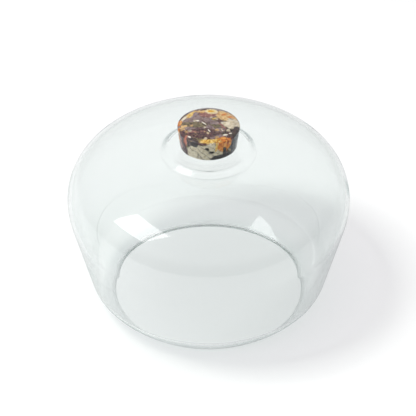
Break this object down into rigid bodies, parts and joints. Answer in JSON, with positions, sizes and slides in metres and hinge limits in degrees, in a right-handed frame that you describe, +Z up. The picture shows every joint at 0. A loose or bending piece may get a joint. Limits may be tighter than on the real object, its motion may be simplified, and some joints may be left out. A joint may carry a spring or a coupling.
{
  "type": "cake stand dome",
  "caption": "Low, wide clear glass dome with a turned-in foot, flared wall, rounded shoulder and a raised boss, lifted by a short round marbled stone knob held on by a screw.",
  "frame": {"origin": "centre of the rim, on the plane the dome stands on", "axes": "+Z up along the dome's axis; the dome is round, so +X and +Y are free"},
  "size_m": [0.2788, 0.2788, 0.2045],
  "materials": {
    "clear_glass": "clear, polished, with a faint green tint at the edges",
    "marbled_stone": "polished, marbled in aubergine brown, cream, amber and slate",
    "brass": "turned, bright",
    "clear_silicone": "translucent, satin",
    "steel": "bright stainless"
  },
  "bodies": {
    "dome": {"glass_dome": "clear_glass", "knob": "marbled_stone", "threaded_insert": "brass", "knob_gasket": "clear_silicone", "hole_grommet": "clear_silicone"},
    "washer": {"steel_washer": "steel"},
    "screw": {"knob_screw": "steel"}
  },
  "joints": [
    {"name": "screw_back_out", "type": "slide", "parent": "dome", "child": "washer", "axis": [0, 0, -1], "range_m": [0, 0.0082]},
    {"name": "screw_turn", "type": "hinge", "parent": "washer", "child": "screw", "pos_m": [0, 0, 0.165], "axis": [0, 0, -1], "range_deg": [0, 3690]}
  ],
  "couplings": [
    {"joint": "screw_turn", "follows": "screw_back_out", "rad_per_m": 7850}
  ]
}
